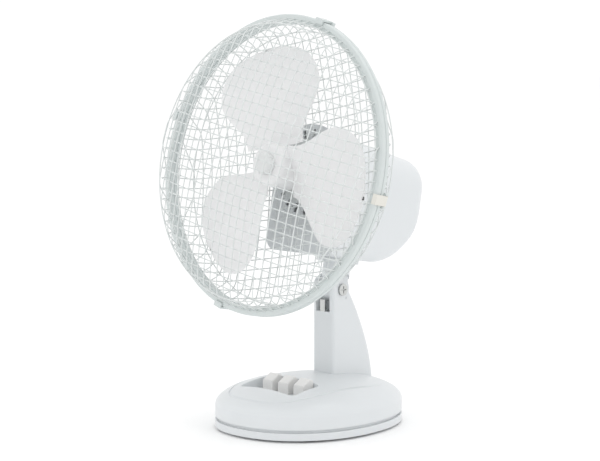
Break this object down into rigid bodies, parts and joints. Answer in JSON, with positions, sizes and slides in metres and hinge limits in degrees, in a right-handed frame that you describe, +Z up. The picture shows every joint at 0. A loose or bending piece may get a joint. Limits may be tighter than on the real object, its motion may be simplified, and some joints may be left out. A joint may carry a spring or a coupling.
{
  "type": "desk fan",
  "caption": "Oscillating desk fan with a tilting head, domed wire mesh guards, rounded translucent blades and piano keys in its oval base.",
  "frame": {"origin": "centre of the base's plan outline, on the table under the feet", "axes": "+Z up, -Y the way the fan blows, +X to the right as seen from the front"},
  "size_m": [0.2761, 0.2377, 0.3804],
  "materials": {
    "white_gloss": "smooth injection-moulded white ABS",
    "key_white": "smooth, slightly warm white",
    "rim_plastic": "light grey-green tinted plastic rim",
    "clip_plastic": "beige plastic clip",
    "guard_wire": "white powder-coated steel wire",
    "blade_plastic": "translucent white plastic",
    "nut_plastic": "white plastic",
    "rubber": "moulded rubber",
    "zinc_steel": "zinc-plated steel",
    "dark_plastic": "black nylon",
    "gear_nylon": "natural nylon",
    "bronze": "sintered bronze",
    "lamination": "stacked electrical steel",
    "copper": "enamelled copper",
    "motor_plate": "die-cast zinc alloy",
    "shaft_steel": "ground steel"
  },
  "bodies": {
    "base": {"base_tray": "white_gloss", "base_cover": "white_gloss", "inlet_bush": "rubber", "rubber_feet": "rubber", "ballast_plate": "zinc_steel", "switch_body": "dark_plastic", "column_screws": "zinc_steel", "tray_screws": "zinc_steel", "key_spring_off": "zinc_steel", "key_spring_low": "zinc_steel", "key_spring_high": "zinc_steel", "column": "white_gloss", "tilt_stop": "zinc_steel", "pivot_bolt": "zinc_steel", "pivot_nut": "zinc_steel", "pivot_washers": "zinc_steel"},
    "key_off": {"key_off": "key_white"},
    "key_low": {"key_low": "key_white"},
    "key_high": {"key_high": "key_white"},
    "neck": {"neck_bracket": "white_gloss", "pin_bush": "bronze", "link_pin": "zinc_steel"},
    "link": {"crank_link": "zinc_steel"},
    "head": {"oscillation_pin": "shaft_steel", "gearbox_case": "dark_plastic", "gearbox_lid": "dark_plastic", "wheel_pin": "zinc_steel", "stator_core": "lamination", "stator_windings": "copper", "motor_front_bracket": "motor_plate", "motor_rear_bracket": "motor_plate", "front_bearing": "bronze", "rear_bearing": "bronze", "through_bolts": "zinc_steel", "motor_housing": "white_gloss", "motor_front_cover": "white_gloss", "front_guard_mesh": "guard_wire", "rear_guard_mesh": "guard_wire", "rear_guard_plate": "guard_wire", "guard_nut": "nut_plastic", "front_guard_ring": "rim_plastic", "rear_guard_ring": "rim_plastic", "clip_hinges": "rim_plastic"},
    "clip_1": {"guard_clip_1": "clip_plastic"},
    "clip_2": {"guard_clip_2": "rim_plastic"},
    "clip_3": {"guard_clip_3": "rim_plastic"},
    "clip_4": {"guard_clip_4": "rim_plastic"},
    "rotor": {"motor_shaft": "shaft_steel", "rotor_core": "lamination", "drive_pin": "zinc_steel", "fan_blade": "blade_plastic", "blade_nut": "nut_plastic"},
    "wheel": {"worm_wheel": "gear_nylon"},
    "crank": {"crank_gear": "gear_nylon", "crank_arm": "gear_nylon"}
  },
  "joints": [
    {"name": "key_off_press", "type": "slide", "parent": "base", "child": "key_off", "axis": [0, 0, -1], "range_m": [0, 0.0035], "stiffness_N_per_m": 300, "springref_m": -0.0015, "deforming": ["key_spring_off"]},
    {"name": "key_low_press", "type": "slide", "parent": "base", "child": "key_low", "axis": [0, 0, -1], "range_m": [0, 0.0035], "stiffness_N_per_m": 300, "springref_m": -0.0015, "deforming": ["key_spring_low"]},
    {"name": "key_high_press", "type": "slide", "parent": "base", "child": "key_high", "axis": [0, 0, -1], "range_m": [0, 0.0035], "stiffness_N_per_m": 300, "springref_m": -0.0015, "deforming": ["key_spring_high"]},
    {"name": "tilt", "type": "hinge", "parent": "base", "child": "neck", "pos_m": [0, 0.031, 0.124], "axis": [1, 0, 0], "range_deg": [-12, 18]},
    {"name": "oscillation", "type": "hinge", "parent": "neck", "child": "head", "pos_m": [0, 0.031, 0.124], "axis": [0, 0.1822, 0.9833], "range_deg": [-40, 40]},
    {"name": "link_swing", "type": "hinge", "parent": "neck", "child": "link", "pos_m": [0.016, 0.04139, 0.18005], "axis": [0, 0.1822, 0.9833], "range_deg": [-31, 31]},
    {"name": "fan_spin", "type": "hinge", "parent": "head", "child": "rotor", "pos_m": [0, -0.04351, 0.24328], "axis": [0, 0.9833, -0.1822], "continuous": true},
    {"name": "wheel_spin", "type": "hinge", "parent": "head", "child": "wheel", "pos_m": [0.0138, 0.07939, 0.2205], "axis": [0, 0.1822, 0.9833], "continuous": true},
    {"name": "crank_spin", "type": "hinge", "parent": "head", "child": "crank", "pos_m": [0, 0.07508, 0.19719], "axis": [0, 0.1822, 0.9833], "continuous": true},
    {"name": "clip_1_hinge", "type": "hinge", "parent": "head", "child": "clip_1", "pos_m": [0.13581, -0.04906, 0.21995], "axis": [0.1736, 0.1795, 0.9683], "range_deg": [0, 100]},
    {"name": "clip_2_hinge", "type": "hinge", "parent": "head", "child": "clip_2", "pos_m": [0.04261, -0.02079, 0.37245], "axis": [-0.9511, 0.0563, 0.3038], "range_deg": [0, 100]},
    {"name": "clip_3_hinge", "type": "hinge", "parent": "head", "child": "clip_3", "pos_m": [-0.13187, -0.03734, 0.28314], "axis": [-0.2924, -0.1743, -0.9403], "range_deg": [0, 100]},
    {"name": "clip_4_hinge", "type": "hinge", "parent": "head", "child": "clip_4", "pos_m": [-0.04032, -0.06872, 0.11383], "axis": [0.9563, -0.0533, -0.2875], "range_deg": [0, 100]}
  ],
  "couplings": [
    {"joint": "wheel_spin", "follows": "fan_spin", "ratio": 0.03125},
    {"joint": "crank_spin", "follows": "fan_spin", "ratio": -0.0065789},
    {"joint": "link_swing", "follows": "oscillation", "ratio": 0.75}
  ]
}
